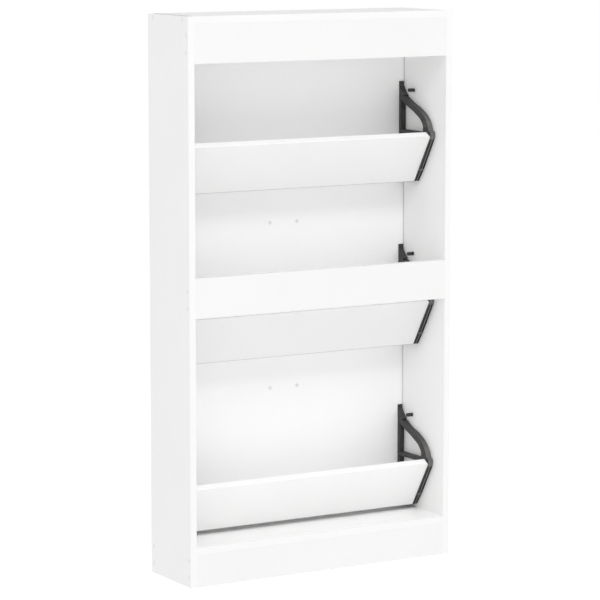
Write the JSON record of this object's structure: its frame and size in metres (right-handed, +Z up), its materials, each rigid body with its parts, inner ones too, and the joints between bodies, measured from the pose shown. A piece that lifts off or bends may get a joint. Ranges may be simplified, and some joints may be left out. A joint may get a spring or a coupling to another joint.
{
  "type": "shoe cabinet",
  "caption": "Tall, shallow shoe cabinet without doors, with tilting shoe trays held in plastic brackets in front of a thin back sheet.",
  "frame": {"origin": "on the floor, at the middle of the footprint", "axes": "+Z up, +X along the width, -Y towards the open front, +Y towards the wall"},
  "size_m": [0.8016, 0.22, 1.48],
  "materials": {
    "white_board": "matt white melamine coating",
    "back_board": "matt white foil on hardboard",
    "dark_plastic": "dark grey moulded plastic",
    "black_plastic": "black moulded plastic",
    "cap_plastic": "white moulded plastic",
    "bare_wood": "bare beech"
  },
  "bodies": {
    "cabinet": {"back_plug_lower_left": "cap_plastic", "back_plug_lower_right": "cap_plastic", "back_plug_upper_left": "cap_plastic", "back_plug_upper_right": "cap_plastic", "back_sheet": "back_board", "floor_dowel_left": "bare_wood", "floor_dowel_right": "bare_wood", "floor_panel": "white_board", "header_board": "white_board", "middle_rail": "white_board", "pivot_stud_lower_left": "black_plastic", "pivot_stud_lower_right": "black_plastic", "pivot_stud_middle_left": "black_plastic", "pivot_stud_middle_right": "black_plastic", "pivot_stud_upper_left": "black_plastic", "pivot_stud_upper_right": "black_plastic", "plinth_board": "white_board", "rear_rail": "white_board", "screw_left_header_board_1": "cap_plastic", "screw_left_header_board_2": "cap_plastic", "screw_left_middle_rail_1": "cap_plastic", "screw_left_middle_rail_2": "cap_plastic", "screw_left_plinth_board_1": "cap_plastic", "screw_left_plinth_board_2": "cap_plastic", "screw_left_rear_rail_1": "cap_plastic", "screw_left_rear_rail_2": "cap_plastic", "screw_left_top_panel_1": "cap_plastic", "screw_left_top_panel_2": "cap_plastic", "screw_right_header_board_1": "cap_plastic", "screw_right_header_board_2": "cap_plastic", "screw_right_middle_rail_1": "cap_plastic", "screw_right_middle_rail_2": "cap_plastic", "screw_right_plinth_board_1": "cap_plastic", "screw_right_plinth_board_2": "cap_plastic", "screw_right_rear_rail_1": "cap_plastic", "screw_right_rear_rail_2": "cap_plastic", "screw_right_top_panel_1": "cap_plastic", "screw_right_top_panel_2": "cap_plastic", "side_panel_left": "white_board", "side_panel_right": "white_board", "stop_stud_lower_left": "black_plastic", "stop_stud_lower_right": "black_plastic", "stop_stud_middle_left": "black_plastic", "stop_stud_middle_right": "black_plastic", "stop_stud_upper_left": "black_plastic", "stop_stud_upper_right": "black_plastic", "top_panel": "white_board"},
    "tray_lower": {"tray_board_lower": "white_board", "tray_floor_lower": "white_board", "tray_bracket_lower_left": "dark_plastic", "tray_bracket_lower_right": "dark_plastic"},
    "tray_middle": {"tray_board_middle": "white_board", "tray_floor_middle": "white_board", "tray_bracket_middle_left": "dark_plastic", "tray_bracket_middle_right": "dark_plastic"},
    "tray_upper": {"tray_board_upper": "white_board", "tray_floor_upper": "white_board", "tray_bracket_upper_left": "dark_plastic", "tray_bracket_upper_right": "dark_plastic"}
  },
  "joints": [
    {"name": "tray_lower_tilt", "type": "hinge", "parent": "cabinet", "child": "tray_lower", "pos_m": [0, 0.01, 0.1465], "axis": [1, 0, 0], "range_deg": [0, 7.1]},
    {"name": "tray_middle_tilt", "type": "hinge", "parent": "cabinet", "child": "tray_middle", "pos_m": [0, 0.01, 0.5945], "axis": [1, 0, 0], "range_deg": [0, 7.1]},
    {"name": "tray_upper_tilt", "type": "hinge", "parent": "cabinet", "child": "tray_upper", "pos_m": [0, 0.01, 1.0425], "axis": [1, 0, 0], "range_deg": [0, 7.1]}
  ]
}
